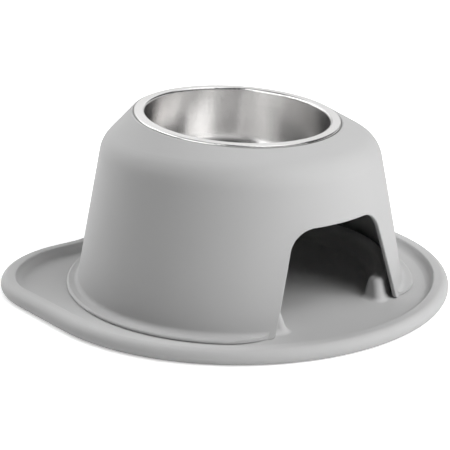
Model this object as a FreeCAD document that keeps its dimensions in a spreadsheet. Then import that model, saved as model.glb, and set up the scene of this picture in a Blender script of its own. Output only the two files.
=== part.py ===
import FreeCAD, Part

import math
import os

import Sketcher

# Raised pet bowl: a steel bowl seated in a hollow conical stand, which stands on a rimmed mat.
# The frame: +Z up, the mat's underside at Z = 0, the stand's axis is the Z axis and its arch faces -Y.
# The bowl and its seat tilt toward -Y, so the front of the rim is the lower side.

doc = FreeCAD.newDocument("raised_pet_bowl")
sheet = doc.addObject("Spreadsheet::Sheet", "dims")

DRIVING = {
    # the mat
    "mat_front_radius": "179.2",
    "mat_front_centre": "3.7",
    "mat_back": "151.6",
    "mat_corner_radius": "86.3",
    "mat_flare": "2.96",
    "mat_blend_radius": "40",
    "mat_sheet": "4",
    "lip_height": "11.5",
    "lip_width": "13",
    "lip_outer_round": "6.5",
    "lip_base_round": "4.5",
    "lip_inner_round": "1.3",
    "lip_foot_round": "6",
    "mat_core_wall": "4",
    "rib_clearance": "0.6",
    "rib_width": "18",
    "rib_height": "21.5",
    "rib_end": "47",
    "rib_top_round": "4",
    "rib_end_round": "5",
    "rib_foot_round": "5",
    # the stand
    "wall_foot_radius": "139.12",
    "wall_draft": "11.6",
    "wall": "3.4",
    "hollow_drop": "0.63",
    "shoulder_height": "125.5",
    "shoulder_round": "24",
    "crest_radius": "87.6",
    "crest_rise": "-1.4",
    "flange_radius": "147.3",
    "flange_clearance": "0.8",
    "flange_sheet": "3",
    "flange_lift": "0.8",
    "flange_flare": "4",
    "flange_edge_round": "1.8",
    "foot_round_radius": "50",
    "foot_round_angle": "44",
    "arch_half_width": "64.5",
    "arch_lean": "16.5",
    "arch_top": "81.8",
    "arch_round": "22",
    "arch_edge_round": "0.8",
    "arch_foot_round": "4",
    # the bowl
    "bowl_tilt": "5.6",
    "bowl_centre_y": "3.4",
    "bowl_centre_z": "144.9",
    "bowl_rim_radius": "85.6",
    "bowl_mouth_radius": "76.5",
    "bowl_floor_radius": "73",
    "bowl_depth": "60",
    "bowl_sheet": "0.9",
    "bowl_hem": "2.6",
    "bowl_mouth_round": "2",
    "bowl_rim_round": "1.2",
    "bowl_floor_round": "22",
    "bowl_clearance": "0.7",
    "collar_depth": "14",
    "collar_wall": "2.6",
    # how far a cutter runs past what it cuts, and how deep joined forms lap
    "overrun": "1",
    "lap": "0.68",
}

DERIVED = {
    "mat_corner_y": "=mat_back - mat_corner_radius",
    "mat_corner_x": "=(mat_front_radius - mat_corner_radius"
                    " + (mat_corner_y - mat_front_centre) * sin(mat_flare * 1deg)) / cos(mat_flare * 1deg)",
    "wall_across": "=wall / cos(wall_draft * 1deg)",
    "wall_slope": "=tan(wall_draft * 1deg)",
    "wall_top_radius": "=wall_foot_radius - (shoulder_height - mat_sheet) * wall_slope",
    "hollow_height": "=shoulder_height - hollow_drop * wall",
    "hollow_foot_radius": "=wall_foot_radius - wall_across",
    "hollow_top_radius": "=hollow_foot_radius - (hollow_height - mat_sheet) * wall_slope",
    "hollow_crest_radius": "=crest_radius - 0.5 * wall",
    "bowl_across": "=bowl_sheet * sqrt(1 + ((bowl_mouth_radius - bowl_floor_radius) / bowl_depth) ^ 2)"
                   " - bowl_sheet * (bowl_mouth_radius - bowl_floor_radius) / bowl_depth",
    "rib_outer_radius": "=hollow_foot_radius - rib_clearance - rib_foot_round",
    "mat_bulge_radius": "=flange_radius + flange_clearance + lip_foot_round + lip_width",
    "mat_blend_x": "=sqrt((mat_bulge_radius + mat_blend_radius) ^ 2 - (mat_back + mat_blend_radius) ^ 2)",
    "seat_radius": "=bowl_rim_radius + bowl_clearance",
    "seat_opening": "=bowl_mouth_radius + bowl_sheet + bowl_mouth_round",
}


def fill_sheet():
    """Write every size as text in column B, with its name in column A as the alias."""
    for row, (name, text) in enumerate({**DRIVING, **DERIVED}.items(), start=1):
        sheet.set(f"A{row}", name)
        sheet.set(f"B{row}", text)
        sheet.setAlias(f"B{row}", name)
    doc.recompute()


def value(formula):
    """What a formula of the sheet's sizes comes to now."""
    return float(sheet.evalExpression(formula.replace("dims.", "")))


def bind(thing, **links):
    """Tie properties to sheet formulas; a double underscore in a name stands for a dot."""
    for path, formula in links.items():
        thing.setExpression(path.replace("__", "."), formula)


fill_sheet()


# Construction helpers

X_AXIS, Z_AXIS = (1, 0, 0), (0, 0, 1)


def primitive(kind, name, **links):
    """A basic solid or curve whose sizes and place are tied to the sheet."""
    thing = doc.addObject(kind, name)
    bind(thing, **links)
    return thing


def turned(thing, axis, degrees):
    """Turn a piece about an axis through its own origin."""
    rotation = FreeCAD.Rotation(FreeCAD.Vector(*axis), degrees)
    thing.Placement = FreeCAD.Placement(FreeCAD.Vector(), rotation)
    return thing


def on_bowl_axis(kind, name, lift, **links):
    """A basic solid or curve on the tilted axis of the bowl, lifted above the rim plane by a formula."""
    thing = turned(primitive(kind, name, **links), X_AXIS, value("bowl_tilt"))
    bind(
        thing,
        Placement__Rotation__Angle="dims.bowl_tilt",
        Placement__Base__y=f"dims.bowl_centre_y - ({lift}) * sin(dims.bowl_tilt * 1deg)",
        Placement__Base__z=f"dims.bowl_centre_z + ({lift}) * cos(dims.bowl_tilt * 1deg)",
    )
    return thing


def joined(kind, name, *things):
    """Several solids fused into one, or their common part."""
    result = doc.addObject(kind, name)
    result.Shapes = list(things)
    return result


def cut(name, base, tool):
    """A solid less another."""
    result = doc.addObject("Part::Cut", name)
    result.Base, result.Tool = base, tool
    return result


def rounded(name, base, radius, wanted):
    """Round the edges of a solid that pass a test."""
    doc.recompute()
    result = doc.addObject("Part::Fillet", name)
    result.Base = base
    chosen = [i for i, edge in enumerate(base.Shape.Edges, start=1) if wanted(edge)]
    result.Edges = [(i, radius, radius) for i in chosen]
    doc.recompute()
    return result


def level_at(height):
    """A test for edges or faces that lie level at a height."""
    return lambda part: part.BoundBox.ZLength < 0.01 and abs(part.BoundBox.ZMin - height) < 0.01



# The stand: a thin cone whose shoulder turns into the tilted seat of the bowl

def shell_form(name, foot, top, height, crest, crest_lift):
    """The stand's form, outside or inside: a cone, then a shoulder drawn from the level
    circle on top of the cone to the tilted circle around the bowl."""
    wall = primitive(
        "Part::Cone", name + "_wall",
        Radius1=foot, Radius2=top, Height=f"{height} - dims.mat_sheet",
        Placement__Base__z="dims.mat_sheet",
    )
    level = primitive("Part::Circle", name + "_level", Radius=top, Placement__Base__z=height)
    tilted = on_bowl_axis("Part::Circle", name + "_tilted", crest_lift, Radius=crest)
    shoulder = doc.addObject("Part::Loft", name + "_shoulder")
    shoulder.Sections = [level, tilted]
    shoulder.Solid, shoulder.Ruled = True, True
    return joined("Part::MultiFuse", name, wall, shoulder)


def stand_forms():
    """The outside and the inside of the wall, each with its turn into the shoulder rounded."""
    outside = shell_form(
        "outside", "dims.wall_foot_radius", "dims.wall_top_radius", "dims.shoulder_height",
        "dims.crest_radius", "dims.crest_rise",
    )
    inside = shell_form(
        "inside", "dims.hollow_foot_radius", "dims.hollow_top_radius", "dims.hollow_height",
        "dims.hollow_crest_radius", "dims.crest_rise - dims.wall",
    )
    turn = value("shoulder_round")
    outside = rounded("outside_round", outside, turn, level_at(value("shoulder_height")))
    inside = rounded("inside_round", inside, turn - value("wall"), level_at(value("hollow_height")))
    return outside, inside


def arch_block():
    """The block that opens the front wall: leaning sides and a flat top with rounded corners."""
    block = turned(doc.addObject("Part::Wedge", "arch_block"), X_AXIS, 90)
    lean = "tan(dims.arch_lean * 1deg)"
    narrowing = f"(dims.arch_top - dims.mat_sheet + dims.overrun) * {lean}"
    foot = f"dims.arch_half_width + dims.overrun * {lean}"
    bind(
        block, Xmin=f"-({foot})", Xmax=foot, Ymin="dims.mat_sheet - dims.overrun", Ymax="dims.arch_top",
        Zmin="0", Z2min="0", Zmax="dims.flange_radius", Z2max="dims.flange_radius",
        X2min=f"{narrowing} - ({foot})", X2max=f"{foot} - {narrowing}",
    )
    top = value("arch_top")
    return rounded("arch", block, value("arch_round"),
                   lambda edge: level_at(top)(edge) and edge.BoundBox.XLength < 0.01)


# the ring around the foot laps the wall up to this height
HUB_HEIGHT = "2 * dims.flange_flare"


def foot_round(side):
    """One of the two upright rounds that turn the flange's outline into the wall beside the arch."""
    reach = "(dims.flange_radius - dims.foot_round_radius)"
    return primitive(
        "Part::Cylinder", "foot_round_right" if side > 0 else "foot_round_left",
        Radius="dims.foot_round_radius", Height=f"{HUB_HEIGHT} + 4 * dims.overrun",
        Placement__Base__x=f"{side} * {reach} * sin(dims.foot_round_angle * 1deg)",
        Placement__Base__y=f"-{reach} * cos(dims.foot_round_angle * 1deg)",
        Placement__Base__z="dims.mat_sheet - 2 * dims.overrun",
    )


def foot_flange():
    """The ring around the foot with its flare up the wall, narrowing away beside the arch.
    Its inner side lies within the wall, so the two join in one body."""
    plate = primitive(
        "Part::Cylinder", "flange_plate", Radius="dims.flange_radius",
        Height="dims.flange_sheet - dims.flange_lift",
        Placement__Base__z="dims.mat_sheet + dims.flange_lift",
    )
    hub = primitive(
        "Part::Cone", "flange_hub", Height=HUB_HEIGHT, Radius1="dims.wall_foot_radius",
        Radius2=f"dims.wall_foot_radius - {HUB_HEIGHT} * dims.wall_slope",
        Placement__Base__z="dims.mat_sheet",
    )
    top = level_at(value("mat_sheet") + value("flange_sheet"))
    rim = value("flange_radius") - 0.01
    ring = joined("Part::MultiFuse", "flange_ring", plate, hub)
    ring = rounded("flange_flared", ring, value("flange_flare"),
                   lambda edge: top(edge) and edge.BoundBox.XMax < rim)
    ring = rounded("flange_edge", ring, value("flange_edge_round"),
                   lambda edge: top(edge) and edge.BoundBox.XMax > rim)
    front = turned(primitive(
        "Part::Cylinder", "front_sector", Radius="dims.flange_radius + dims.overrun",
        Angle="2 * dims.foot_round_angle", Height=f"{HUB_HEIGHT} + 2 * dims.overrun",
    ), Z_AXIS, value("-90 - dims.foot_round_angle"))
    bind(front, Placement__Rotation__Angle="-90 - dims.foot_round_angle",
         Placement__Base__z="dims.mat_sheet - dims.overrun")
    front = cut("front_less_right", front, foot_round(1))
    front = cut("front_less_both", front, foot_round(-1))
    mid_wall = "dims.wall_foot_radius - dims.wall / 2"
    core = primitive(
        "Part::Cone", "flange_core", Height=f"{HUB_HEIGHT} + 2 * dims.overrun",
        Radius1=f"{mid_wall} + dims.overrun * dims.wall_slope",
        Radius2=f"{mid_wall} - ({HUB_HEIGHT} + dims.overrun) * dims.wall_slope",
        Placement__Base__z="dims.mat_sheet - dims.overrun",
    )
    ring = cut("flange_narrowed", ring, front)
    return cut("flange", ring, core)


def bowl_seat():
    """The ledge that carries the bowl's rim and the collar that hangs from its inner edge."""
    ledge = on_bowl_axis(
        "Part::Cylinder", "ledge", "-dims.bowl_hem - dims.wall",
        Radius="dims.seat_radius + 2 * dims.lap", Height="dims.wall + dims.lap",
    )
    collar = on_bowl_axis(
        "Part::Cylinder", "collar", "-dims.bowl_hem - dims.collar_depth",
        Radius="dims.seat_opening + dims.collar_wall", Height="dims.collar_depth - dims.wall / 2",
    )
    return ledge, collar


def build_stand():
    """The stand as one moulded piece."""
    outside, inside = stand_forms()
    arch = arch_block()
    shell = cut("shell", cut("skin", outside, inside), arch)
    at_foot = level_at(value("mat_sheet"))
    shell = rounded("shell_foot", shell, value("arch_foot_round"),
                    lambda edge: at_foot(edge) and edge.BoundBox.XLength < 0.01)
    foot, foot_radius, slope = value("mat_sheet"), value("wall_foot_radius"), value("wall_slope")

    def around_arch(edge):
        """Edges where the arch opens through the outer face of the wall."""
        middle = edge.valueAt((edge.FirstParameter + edge.LastParameter) / 2)
        beside = middle.y < -value("arch_half_width") and foot + 0.1 < middle.z < value("arch_top") + 1
        on_wall = foot_radius - slope * (middle.z - foot)
        return beside and abs(math.hypot(middle.x, middle.y) - on_wall) < 0.01

    shell = rounded("shell_eased", shell, value("arch_edge_round"), around_arch)
    flange = foot_flange()
    ledge, collar = bowl_seat()
    whole = joined("Part::MultiFuse", "stand_whole", shell, flange, ledge, collar)
    recess = on_bowl_axis("Part::Cylinder", "recess", "-dims.bowl_hem",
                          Radius="dims.seat_radius", Height="4 * dims.bowl_hem")
    opening = on_bowl_axis("Part::Cylinder", "opening", "-2 * dims.collar_depth",
                           Radius="dims.seat_opening", Height="4 * dims.collar_depth")
    seated = cut("stand_recessed", whole, recess)
    seated = cut("stand_open", seated, opening)
    return seated



# Sketches and features of the bodies

def sketch_on(body, name, role, **links):
    """A sketch on one of the body's own origin planes."""
    sketch = body.newObject("Sketcher::SketchObject", name)
    plane = next(face for face in body.Origin.OriginFeatures if face.Role == role)
    sketch.AttachmentSupport = [(plane, "")]
    sketch.MapMode = "FlatFace"
    bind(sketch, **links)
    return sketch


def fix(sketch, kind, *where, formula):
    """A constraint whose value is a sheet formula."""
    number = sketch.addConstraint(Sketcher.Constraint(kind, *where, value(formula)))
    sketch.setExpression(f"Constraints[{number}]", formula)


def grown(body, kind, name, sketch, length, reverse=False):
    """A pad or a pocket of a sketch, with its length tied to the sheet."""
    feature = body.newObject(f"PartDesign::{kind}", name)
    feature.Profile = sketch
    feature.Reversed = reverse
    bind(feature, Length=length)
    doc.recompute()
    return feature


def ease(body, name, radius, choose):
    """Round the edges that choose picks out of the body as it is so far."""
    base = body.Tip
    picked = choose(base.Shape)
    chosen = [f"Edge{i}" for i, edge in enumerate(base.Shape.Edges, start=1)
              if any(edge.isSame(other) for other in picked)]
    feature = body.newObject("PartDesign::Fillet", name)
    feature.Base = (base, chosen)
    bind(feature, Radius=radius)
    doc.recompute()
    return feature


def wire_at(height, place):
    """Picks the edges of one outline of the level faces at a height: 0 the innermost, -1 the outermost."""
    def choose(shape):
        faces = [face for face in shape.Faces if level_at(height)(face)]
        wires = [wire for face in faces for wire in face.Wires]
        return sorted(wires, key=lambda wire: wire.BoundBox.DiagonalLength)[place].Edges
    return choose


# The mat: a flat sheet of D-shaped outline with a raised lip, and a low rib that centres the stand

def outline_of_mat(sketch, inset):
    """The mat's outline, moved in by an inset. Every stretch is tangent to the next: a wide arc
    in front, sides that flare a little, round back corners, a straight back, and in its middle
    an arc about the stand's axis that makes room for the stand's foot."""
    flare = math.radians(value("dims.mat_flare"))
    turn = math.atan2(value("dims.mat_back + dims.mat_blend_radius"), value("dims.mat_blend_x"))
    quarter, half = math.pi / 2, math.pi
    corner, blend = "dims.mat_corner_radius - ", "dims.mat_blend_radius + "
    stretches = [
        ("arc", "0", "dims.mat_front_centre", "dims.mat_front_radius - ", half + flare, 2 * half - flare),
        ("line",),
        ("arc", "dims.mat_corner_x", "dims.mat_corner_y", corner, -flare, quarter),
        ("line",),
        ("blend", "dims.mat_blend_x", "dims.mat_back + dims.mat_blend_radius", blend, turn - half, -quarter),
        ("arc", "0", "0", "dims.mat_bulge_radius - ", turn, half - turn),
        ("blend", "-dims.mat_blend_x", "dims.mat_back + dims.mat_blend_radius", blend, -quarter, -turn),
        ("line",),
        ("arc", "-dims.mat_corner_x", "dims.mat_corner_y", corner, quarter, half + flare),
        ("line",),
    ]
    curves = {}
    for i, (kind, *rest) in enumerate(stretches):
        if kind != "line":
            centre = FreeCAD.Vector(value(rest[0]), value(rest[1]), 0)
            circle = Part.Circle(centre, FreeCAD.Vector(0, 0, 1), value(rest[2] + inset))
            curves[i] = Part.ArcOfCircle(circle, rest[3], rest[4])
    # A blend runs against the outline's own direction, so its ends swap.
    enter = {i: 2 if stretch[0] == "blend" else 1 for i, stretch in enumerate(stretches)}
    ends = {i: (curve.StartPoint, curve.EndPoint) for i, curve in curves.items()}
    count = len(stretches)
    for i, (kind, *rest) in enumerate(stretches):
        if kind == "line":
            before, after = (i - 1) % count, (i + 1) % count
            leave = ends[before][2 - enter[before]]
            curves[i] = Part.LineSegment(leave, ends[after][enter[after] - 1])
    first = sketch.GeometryCount
    sketch.addGeometry([curves[i] for i in range(count)], False)
    for i in range(count):
        after = (i + 1) % count
        sketch.addConstraint(Sketcher.Constraint(
            "Tangent", first + i, 3 - enter[i], first + after, enter[after]))
    for i, (kind, *rest) in enumerate(stretches):
        if kind == "arc":
            fix(sketch, "DistanceX", first + i, 3, formula=rest[0])
        if kind != "line":
            fix(sketch, "DistanceY", first + i, 3, formula=rest[1])
            fix(sketch, "Radius", first + i, formula=rest[2] + inset)


def outline_of_rib(sketch, outer, inner, end):
    """The rib in plan: a ring about the stand's axis, left open in front, its ends along Y."""
    origin, z_axis, half = FreeCAD.Vector(), FreeCAD.Vector(0, 0, 1), value(end)
    arcs = []
    for radius in (value(outer), value(inner)):
        lag = math.acos(half / radius)
        arcs.append(Part.ArcOfCircle(Part.Circle(origin, z_axis, radius), -lag, math.pi + lag))
    first = sketch.GeometryCount
    sketch.addGeometry([
        arcs[0], Part.LineSegment(arcs[0].EndPoint, arcs[1].EndPoint),
        arcs[1], Part.LineSegment(arcs[1].StartPoint, arcs[0].StartPoint),
    ], False)
    joins = ((0, 2, 1, 1), (1, 2, 2, 2), (2, 1, 3, 1), (3, 2, 0, 1))
    for here, here_end, there, there_end in joins:
        sketch.addConstraint(
            Sketcher.Constraint("Coincident", first + here, here_end, first + there, there_end))
    for arc, radius in ((0, outer), (2, inner)):
        sketch.addConstraint(Sketcher.Constraint("Coincident", first + arc, 3, -1, 1))
        fix(sketch, "Radius", first + arc, formula=radius)
        fix(sketch, "DistanceX", first + arc, 1, formula=end)
        fix(sketch, "DistanceX", first + arc, 2, formula=f"-({end})")


def build_mat():
    """The mat as one moulded piece, cored from below under its lip and rib."""
    body = doc.addObject("PartDesign::Body", "mat")
    sketch = sketch_on(body, "mat_outline", "XY_Plane")
    outline_of_mat(sketch, "0")
    grown(body, "Pad", "mat_block", sketch, "dims.lip_height")
    sketch = sketch_on(body, "floor_outline", "XY_Plane", AttachmentOffset__Base__z="dims.lip_height")
    outline_of_mat(sketch, "dims.lip_width")
    grown(body, "Pocket", "mat_floor", sketch, "dims.lip_height - dims.mat_sheet")
    top, floor, crown = value("lip_height"), value("mat_sheet"), value("rib_height")
    ease(body, "lip_outside", "dims.lip_outer_round", wire_at(top, -1))
    ease(body, "lip_inside", "dims.lip_inner_round", wire_at(top, 0))
    ease(body, "lip_foot", "dims.lip_foot_round", wire_at(floor, -1))
    ease(body, "lip_base", "dims.lip_base_round", wire_at(0, -1))

    sketch = sketch_on(body, "rib_plan", "XY_Plane", AttachmentOffset__Base__z="dims.mat_sheet")
    outline_of_rib(sketch, "dims.rib_outer_radius", "dims.rib_outer_radius - dims.rib_width", "dims.rib_end")
    rib = grown(body, "Pad", "rib", sketch, "dims.rib_height - dims.mat_sheet")
    bind(rib, TaperAngle="-dims.wall_draft")
    doc.recompute()
    upright = crown - floor - 0.01
    ease(body, "rib_ends", "dims.rib_end_round",
         lambda shape: [edge for edge in shape.Edges if edge.BoundBox.ZLength > upright])
    ease(body, "rib_crown", "dims.rib_top_round", wire_at(crown, -1))
    ease(body, "rib_foot", "dims.rib_foot_round", wire_at(floor, 0))

    sketch = sketch_on(body, "lip_core_plan", "XY_Plane")
    outline_of_mat(sketch, "dims.mat_core_wall")
    outline_of_mat(sketch, "(dims.lip_width - dims.mat_core_wall)")
    grown(body, "Pocket", "lip_core", sketch, "dims.lip_height - dims.mat_core_wall", reverse=True)
    sketch = sketch_on(body, "rib_core_plan", "XY_Plane")
    outline_of_rib(
        sketch, "dims.rib_outer_radius - dims.mat_core_wall",
        "dims.rib_outer_radius - dims.rib_width + dims.mat_core_wall", "dims.rib_end + dims.mat_core_wall",
    )
    core = grown(body, "Pocket", "rib_core", sketch, "dims.rib_height - dims.mat_core_wall", reverse=True)
    bind(core, TaperAngle="-dims.wall_draft")
    doc.recompute()
    return body


# The bowl: one pressed sheet with a flat rim whose edge is turned down

def build_bowl():
    """The bowl, turned about its own upright axis and then tilted into its seat."""
    body = doc.addObject("PartDesign::Body", "bowl")
    sketch = sketch_on(body, "bowl_section", "XZ_Plane")
    corners = {
        "floor_centre": ("0", "-dims.bowl_depth"),
        "floor_inside": ("dims.bowl_floor_radius", "-dims.bowl_depth"),
        "mouth_inside": ("dims.bowl_mouth_radius", "0"),
        "rim_outside": ("dims.bowl_rim_radius", "0"),
        "hem_outside": ("dims.bowl_rim_radius", "-dims.bowl_hem"),
        "hem_inside": ("dims.bowl_rim_radius - dims.bowl_sheet", "-dims.bowl_hem"),
        "rim_inside": ("dims.bowl_rim_radius - dims.bowl_sheet", "-dims.bowl_sheet"),
        "mouth_outside": ("dims.bowl_mouth_radius + dims.bowl_across", "-dims.bowl_sheet"),
        "floor_outside": ("dims.bowl_floor_radius + dims.bowl_across", "-dims.bowl_depth - dims.bowl_sheet"),
        "base_centre": ("0", "-dims.bowl_depth - dims.bowl_sheet"),
    }
    spots = [FreeCAD.Vector(value(across), value(up), 0) for across, up in corners.values()]
    count = len(spots)
    sketch.addGeometry([Part.LineSegment(spots[i], spots[(i + 1) % count]) for i in range(count)], False)
    for i, (across, up) in enumerate(corners.values()):
        sketch.addConstraint(Sketcher.Constraint("Coincident", i, 1, (i - 1) % count, 2))
        fix(sketch, "DistanceX", i, 1, formula=across)
        fix(sketch, "DistanceY", i, 1, formula=up)
    turning = body.newObject("PartDesign::Revolution", "bowl_turned")
    turning.Profile = sketch
    turning.ReferenceAxis = (sketch, ["V_Axis"])
    turning.Angle = 360
    doc.recompute()
    rounds = {
        "floor_inside": "dims.bowl_floor_round",
        "floor_outside": "dims.bowl_floor_round + dims.bowl_sheet",
        "mouth_inside": "dims.bowl_mouth_round",
        "mouth_outside": "dims.bowl_mouth_round - dims.bowl_sheet",
        "rim_outside": "dims.bowl_rim_round",
        "rim_inside": "dims.bowl_rim_round - dims.bowl_sheet",
    }
    for name, radius in rounds.items():
        across, up = (value(formula) for formula in corners[name])
        ease(body, name, radius, lambda shape: [
            edge for edge in shape.Edges
            if level_at(up)(edge) and abs(edge.BoundBox.XMax - across) < 0.01])
    turned(body, X_AXIS, value("bowl_tilt"))
    bind(body, Placement__Rotation__Angle="dims.bowl_tilt", Placement__Base__y="dims.bowl_centre_y",
         Placement__Base__z="dims.bowl_centre_z")
    return body


def check_document():
    """Stop when an object failed to build or a sub-part isn't one valid solid."""
    failed = [thing.Name for thing in doc.Objects if {"Invalid", "Error"} & set(thing.State)]
    if failed:
        raise RuntimeError(f"objects that failed: {failed}")
    for node, piece in pieces.items():
        if piece.Shape.isNull() or not piece.Shape.isValid() or len(piece.Shape.Solids) != 1:
            raise RuntimeError(f"{node} isn't one valid solid")


pieces = {"stand": build_stand(), "mat": build_mat(), "bowl": build_bowl()}
doc.recompute()
for node, piece in pieces.items():
    piece.Label = node
check_document()
os.makedirs("parts", exist_ok=True)
for node, piece in pieces.items():
    piece.Shape.exportStep(f"parts/{node}.step")
    print(node, round(piece.Shape.Volume), "cubic millimetres")
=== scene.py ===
# %% [markdown]
# A raised pet bowl: a brushed steel bowl sits, tilted a little towards the animal, in a hollow
# plastic stand with an arch in front, and the stand stands on a rimmed mat. The solids come from
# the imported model, already at their real size and place, so this lesson is about finishes, light
# and the camera. Everything is in metres, +Z is up, the floor is at Z = 0 and the arch faces -Y.

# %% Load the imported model
import math

import bpy
from mathutils import Matrix, Vector

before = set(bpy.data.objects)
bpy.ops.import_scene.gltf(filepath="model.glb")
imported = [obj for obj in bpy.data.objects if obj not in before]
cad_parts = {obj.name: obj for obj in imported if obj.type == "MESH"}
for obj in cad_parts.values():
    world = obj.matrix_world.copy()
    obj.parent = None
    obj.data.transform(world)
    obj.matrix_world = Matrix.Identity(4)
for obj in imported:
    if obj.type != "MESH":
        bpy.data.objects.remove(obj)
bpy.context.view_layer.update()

# %% [markdown]
# The camera stands to the left of the arch and looks down a little. A long lens keeps the rims
# close to true ellipses. Its frame is square, so the lens follows from how many pixels wide the
# view would be at one metre's distance: the focal length in pixels over the width of the image,
# times the width of the sensor. A direction round the object is an azimuth and an elevation, and
# the same helper turns it into axes for the camera and, later, for the lights.

# %% The camera
IMAGE_WIDTH = 450
FOCAL_PIXELS = 1100.0
SENSOR_WIDTH = 36.0
VIEW_AZIMUTH = -38.2
VIEW_ELEVATION = 18.1
VIEW_DISTANCE = 0.9294
AIM_RIGHT, AIM_UP = -0.01252, -0.01078
AIM_HEIGHT = 0.060
NEAREST, FARTHEST = 0.05, 20.0


def view_axes(azimuth, elevation):
    """The directions to the right of, above and behind a camera that looks at the origin. Its
    azimuth, in degrees, is 0 in front of the arch and grows towards the right."""
    turn, lift = math.radians(azimuth), math.radians(elevation)
    back = Vector((
        math.sin(turn) * math.cos(lift),
        -math.cos(turn) * math.cos(lift),
        math.sin(lift),
    ))
    right = Vector((math.cos(turn), math.sin(turn), 0.0))
    return right, back.cross(right), back


def facing(axes, place):
    """The matrix of something at a place that looks along minus the last of its three axes."""
    return Matrix.Translation(place) @ Matrix(axes).transposed().to_4x4()


def place_camera():
    """A camera looking along minus its back axis at the aim point, with no roll."""
    right, up, back = view_axes(VIEW_AZIMUTH, VIEW_ELEVATION)
    aim = Vector((0, 0, AIM_HEIGHT)) + right * AIM_RIGHT + up * AIM_UP
    data = bpy.data.cameras.new("camera")
    data.sensor_width = SENSOR_WIDTH
    data.lens = FOCAL_PIXELS / IMAGE_WIDTH * SENSOR_WIDTH
    data.clip_start, data.clip_end = NEAREST, FARTHEST
    camera = bpy.data.objects.new("camera", data)
    bpy.context.scene.collection.objects.link(camera)
    camera.matrix_world = facing((right, up, back), aim + back * VIEW_DISTANCE)
    bpy.context.scene.camera = camera
    return camera


camera = place_camera()
print("camera at", [round(v, 4) for v in camera.matrix_world.translation], "lens", camera.data.lens)

# %% [markdown]
# Materials are graphs of nodes. Written out one by one they hide the idea, so one small class
# wraps a socket: adding, subtracting or multiplying wrapped sockets makes the Math node that does
# it, and one method makes every other kind of node.

# %% Shader maths as Python expressions
class Wire:
    """A socket of a node tree that can be calculated with."""

    def __init__(self, tree, socket):
        self.tree, self.socket = tree, socket

    def __add__(self, other):
        return maths("ADD", self, other)

    def __sub__(self, other):
        return maths("SUBTRACT", self, other)

    def __rsub__(self, other):
        return maths("SUBTRACT", other, self)

    def __mul__(self, other):
        return maths("MULTIPLY", self, other)

    __radd__ = __add__
    __rmul__ = __mul__


def connect(tree, value, slot):
    """Link a wrapped socket to an input, or set the input to a plain value."""
    if isinstance(value, Wire):
        tree.links.new(value.socket, slot)
    else:
        slot.default_value = value


def maths(operation, *values):
    """A Math node on wrapped sockets and plain numbers; at least one is a wrapped socket."""
    tree = next(value.tree for value in values if isinstance(value, Wire))
    node = tree.nodes.new("ShaderNodeMath")
    node.operation = operation
    for value, slot in zip(values, node.inputs):
        connect(tree, value, slot)
    return Wire(tree, node.outputs[0])


# %% [markdown]
# A material and a world are both node trees, so both get the same method. A material adds its
# surface shader, whose inputs are set or linked by name.

# %% Graphs and finishes
class Graph:
    """A node tree whose nodes are made by one method."""

    def __init__(self, tree):
        self.tree = tree

    def node(self, kind, settings=None, output=0, **sockets):
        """Make a node: its settings first, then its sockets by name, with _ for a space."""
        made = self.tree.nodes.new("ShaderNode" + kind)
        for key, value in (settings or {}).items():
            setattr(made, key, value)
        for key, value in sockets.items():
            connect(self.tree, value, made.inputs[key.replace("_", " ")])
        return Wire(self.tree, made.outputs[output])

    def parts(self, wire, *names):
        """Other outputs of the node that a wrapped socket belongs to."""
        return [Wire(self.tree, wire.socket.node.outputs[name]) for name in names]

    def split(self, vector):
        """The three parts of a vector."""
        return self.parts(self.node("SeparateXYZ", Vector=vector), "X", "Y", "Z")

    def smooth(self, value, start, end, low=0.0, high=1.0):
        """From low to high as a value goes from start to end, with no corner at either."""
        return self.node(
            "MapRange", {"interpolation_type": "SMOOTHSTEP"},
            Value=value, From_Min=start, From_Max=end, To_Min=low, To_Max=high,
        )


class Finish(Graph):
    """A material and its surface shader."""

    def __init__(self, name):
        self.material = bpy.data.materials.new(name)
        self.material.use_nodes = True
        super().__init__(self.material.node_tree)
        self.surface = self.tree.nodes["Principled BSDF"]

    def place(self):
        """Object coordinates: metres in the model's own frame."""
        return self.node("TexCoord", output="Object")

    def grey(self, value):
        """A colour with the same value in its red, green and blue."""
        return self.node("CombineColor", Red=value, Green=value, Blue=value)

    def set(self, **sockets):
        """Set or link the inputs of the surface shader."""
        for key, value in sockets.items():
            connect(self.tree, value, self.surface.inputs[key.replace("_", " ")])
        return self.material


# %% [markdown]
# The stand and the mat are moulded plastic and rubber with a fine spark-eroded texture: matte, with
# a soft sheen where the light grazes it. Two sizes of noise make it: a fine one tilts the normal,
# and a broad faint one shifts the grey and the gloss by a little, as a real moulding does.

# %% The moulded plastic of the stand and the rubber of the mat
STAND_GREY, STAND_ROUGHNESS = 0.53, 0.56
MAT_GREY, MAT_ROUGHNESS = 0.54, 0.64
STAND_GRAIN, STAND_GRAIN_DEPTH = 2600.0, 0.00006
MAT_GRAIN, MAT_GRAIN_DEPTH = 2080.0, 0.00008
GRAIN_STRENGTH = 0.6
BROAD_PATCHES = 14.0
PATCH_GREY = 0.03
PATCH_ROUGHNESS = 0.04


def moulded(name, grey, roughness, grain, grain_depth):
    """Matte moulded plastic: a grey with faint broad patches and a fine grain in the normal."""
    finish = Finish(name)
    place = finish.place()
    patches = finish.node("TexNoise", Vector=place, Scale=BROAD_PATCHES, Detail=2.0, output="Fac")
    fine = finish.node("TexNoise", Vector=place, Scale=grain, Detail=1.0, output="Fac")
    return finish.set(
        Base_Color=finish.grey(patches * PATCH_GREY + (grey - PATCH_GREY / 2)),
        Roughness=patches * PATCH_ROUGHNESS + roughness,
        Normal=finish.node(
            "Bump", Height=fine, Distance=grain_depth, Strength=GRAIN_STRENGTH, output="Normal"),
    )


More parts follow.
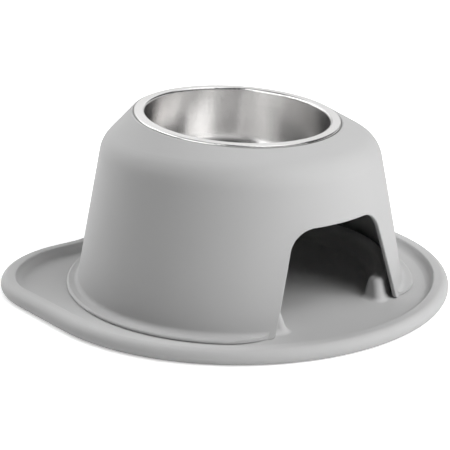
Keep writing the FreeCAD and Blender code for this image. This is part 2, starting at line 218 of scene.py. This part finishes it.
stand_plastic = moulded("moulded_plastic", STAND_GREY, STAND_ROUGHNESS, STAND_GRAIN, STAND_GRAIN_DEPTH)
mat_rubber = moulded("moulded_rubber", MAT_GREY, MAT_ROUGHNESS, MAT_GRAIN, MAT_GRAIN_DEPTH)
print("plastics:", stand_plastic.name, mat_rubber.name)

# %% [markdown]
# The bowl is pressed stainless steel. Its flat rim and its inside are brushed along the turn, so
# fine lines run round the bowl. In the bowl's own frame, tilted with it, a scratch keeps its
# radius and height while the angle changes, so noise is stretched far along the angle. Scratches
# too fine to see spread a reflection across themselves: the shader's anisotropy does that, turned
# by a quarter so that it spreads across the rings and not along them.

# %% The brushed steel of the bowl
BOWL_TILT = math.radians(5.6)
BOWL_CENTRE = (0.0, 0.0034, 0.1449)
LINES_PER_METRE = 1300.0
ALONG_A_LINE = 1.2
LINE_DEPTH, LINE_STRENGTH = 0.00001, 0.4
STEEL_TONE, LINE_TONE = 0.82, 0.10
STEEL_ROUGHNESS, LINE_ROUGHNESS = 0.17, 0.08
STEEL_WARMTH = (1.0, 0.992, 0.985)
STEEL_ANISOTROPY, QUARTER_TURN = 0.8, 0.25


def brushed_steel():
    """Steel with fine rings: noise over radius and height, almost constant along the angle."""
    finish = Finish("brushed_steel")
    own = finish.node(
        "Mapping", {"vector_type": "TEXTURE"},
        Vector=finish.place(), Location=BOWL_CENTRE, Rotation=(BOWL_TILT, 0.0, 0.0),
    )
    x, y, height = finish.split(own)
    radius = maths("SQRT", x * x + y * y)
    angle = maths("ARCTAN2", y, x)
    along = finish.node(
        "CombineXYZ", X=radius * LINES_PER_METRE, Y=angle * ALONG_A_LINE, Z=height * LINES_PER_METRE)
    lines = finish.node("TexNoise", Vector=along, Scale=1.0, Detail=3.0, output="Fac")
    tone = lines * LINE_TONE + STEEL_TONE
    red, green, blue = (tone * share for share in STEEL_WARMTH)
    return finish.set(
        Base_Color=finish.node("CombineColor", Red=red, Green=green, Blue=blue),
        Metallic=1.0,
        Roughness=lines * LINE_ROUGHNESS + STEEL_ROUGHNESS,
        Anisotropic=STEEL_ANISOTROPY, Anisotropic_Rotation=QUARTER_TURN,
        Normal=finish.node(
            "Bump", Height=lines, Distance=LINE_DEPTH, Strength=LINE_STRENGTH, output="Normal"),
    )


bowl_steel = brushed_steel()
print("steel:", bowl_steel.name, "nodes:", len(bowl_steel.node_tree.nodes))

# %% [markdown]
# The solids stay as they were imported, in shape and in place. Each one only takes its finish.

# %% Each solid takes its finish
FINISHES = {"stand": stand_plastic, "mat": mat_rubber, "bowl": bowl_steel}
for node, material in FINISHES.items():
    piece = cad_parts[node]
    for slot in piece.material_slots:
        slot.material = material
    print(node, "wears", material.name, "triangles:", len(piece.data.polygons))

# %% [markdown]
# The floor is one pale plane. A camera ray sees it with a little glow added, so that it reads as
# white paper while it still takes the object's soft shadow. The lamps stand close and their light
# fades with distance, so the glow grows away from the object. To every other ray the floor is
# plain paper, which throws a soft light up under the mat's lip.

# %% The floor
FLOOR_HALF = 4.0
PAPER = (0.92, 0.92, 0.92, 1)
PAPER_ROUGHNESS, PAPER_SHEEN = 0.9, 0.1
SHADOW_REACH, PLAIN_WHITE_FROM = 0.22, 0.75
GLOW_NEAR, GLOW_FAR = 0.45, 1.0


def pale_floor():
    """A large plane at Z = 0, white to the camera and shadowed under the object."""
    mesh = bpy.data.meshes.new("floor")
    corners = [(x * FLOOR_HALF, y * FLOOR_HALF, 0.0) for x, y in ((-1, -1), (1, -1), (1, 1), (-1, 1))]
    mesh.from_pydata(corners, [], [(0, 1, 2, 3)])
    floor = bpy.data.objects.new("floor", mesh)
    bpy.context.scene.collection.objects.link(floor)
    finish = Finish("floor_paper")
    x, y, _ = finish.split(finish.place())
    away = maths("SQRT", x * x + y * y)
    glow = finish.smooth(away, SHADOW_REACH, PLAIN_WHITE_FROM, GLOW_NEAR, GLOW_FAR)
    seen = finish.node("LightPath", output="Is Camera Ray")
    mesh.materials.append(finish.set(
        Base_Color=PAPER, Roughness=PAPER_ROUGHNESS, Specular_IOR_Level=PAPER_SHEEN,
        Emission_Color=finish.grey(seen * glow), Emission_Strength=1.0,
    ))
    return floor


floor = pale_floor()
print("floor:", floor.name, "half width", FLOOR_HALF)

# %% [markdown]
# Polished metal has no look of its own: it shows the room. A photographer puts white and grey cards
# round it, and each becomes a band in the bowl. Here the world itself is that ring of cards, seen
# by glossy rays only, so that it adds no light. The camera sees plain white behind the object.

# %% The cards round the object
# Azimuth from and to, elevation from and to, all in degrees, and strength. Azimuth 0 is in front
# of the arch and grows towards the right.
CARDS = (
    (60, 190, -8, 20, 0.55),
    (190, 218, -8, 20, 1.35),
    (262, 298, -8, 20, 1.65),
    (298, 368, -8, 20, 0.45),
    (8, 60, -8, 20, 0.30),
    (125, 160, 20, 50, 0.95),
    (160, 205, 20, 50, 1.05),
    (205, 225, 20, 50, 2.40),
    (225, 252, 20, 50, 3.00),
    (252, 290, 20, 50, 1.35),
    (-8, 60, 50, 76, 1.40),
    (60, 95, 50, 76, 1.05),
    (95, 128, 50, 76, 1.60),
    (262, 282, 50, 76, 0.35),
    (282, 312, 50, 76, 2.50),
)
CARD_EDGE = 7.0
BETWEEN_CARDS = 0.07
FULL_TURN = 360.0


def window(graph, value, start, end):
    """One between start and end, falling smoothly to nothing across each of them."""
    half = CARD_EDGE / 2
    rise = graph.smooth(value, start - half, start + half)
    fall = graph.smooth(value, end + half, end - half)
    return rise * fall


def brightness_of_cards(graph):
    """How bright the ring of cards is in the direction that a ray leaves in. The azimuth is the
    arc tangent of X over minus Y, counted on from each card's first edge so that it never jumps
    inside a card, and the elevation is the arc sine of Z."""
    x, y, z = graph.split(graph.node("TexCoord", output="Generated"))
    turns = maths("ARCTAN2", x, y * -1.0) * (1.0 / math.tau)
    elevation = maths("ARCSINE", z) * math.degrees(1.0)
    bright = BETWEEN_CARDS
    for start, end, low, high, strength in CARDS:
        along = maths("FRACT", turns - (start - CARD_EDGE) / FULL_TURN) * FULL_TURN
        across = window(graph, along, CARD_EDGE, CARD_EDGE + end - start)
        bright = across * window(graph, elevation, low, high) * strength + bright
    return bright


def surroundings():
    """A world that is white to the camera, cards to polished steel, and no light."""
    world = bpy.data.worlds.new("surroundings")
    bpy.context.scene.world = world
    world.use_nodes = True
    graph = Graph(world.node_tree)
    camera_ray, glossy, passing = graph.parts(
        graph.node("LightPath"), "Is Camera Ray", "Is Glossy Ray", "Is Transmission Ray")
    strength = maths("MAXIMUM", camera_ray, passing) + glossy * brightness_of_cards(graph)
    back = graph.tree.nodes["Background"]
    back.inputs["Color"].default_value = (1, 1, 1, 1)
    connect(graph.tree, strength, back.inputs["Strength"])
    return world


world = surroundings()
print("world:", world.name, "cards:", len(CARDS))

# %% [markdown]
# Large soft panels stand round the object, 1.8 m away. The strongest is low behind on the left and
# gives the left of the shoulder its sheen. One high in front and two further to the right light
# the wall and the mat, and a weak one high behind fills the top. Glossy rays don't see the panels:
# what the steel shows is the cards.

# %% The lights
LIGHT_AIM = Vector((0.0, 0.0, 0.07))
PANEL_DISTANCE = 1.8
PANEL_SIZE = 1.1
# Azimuth and elevation in degrees, and watts.
PANELS = {
    "high_front": (10, 50, 15.0),
    "high_right": (50, 50, 10.4),
    "low_right": (20, 20, 11.4),
    "low_back": (-160, 20, 20.3),
    "high_back": (180, 50, 7.8),
}


def soft_light(name, azimuth, elevation, watts):
    """A square area light on a sphere about the object, turned to face it."""
    axes = view_axes(azimuth, elevation)
    data = bpy.data.lights.new(name, "AREA")
    data.size, data.energy = PANEL_SIZE, watts
    light = bpy.data.objects.new(name, data)
    light.visible_glossy = False
    bpy.context.scene.collection.objects.link(light)
    light.matrix_world = facing(axes, LIGHT_AIM + axes[-1] * PANEL_DISTANCE)
    return light


for name, (azimuth, elevation, watts) in PANELS.items():
    light = soft_light(name, azimuth, elevation, watts)
    print(name, "at", [round(v, 3) for v in light.matrix_world.translation], watts, "W")

# %% [markdown]
# The view transform is the plain one, so that a colour renders as it is written.

# %% The view transform
bpy.context.scene.view_settings.view_transform = "Standard"
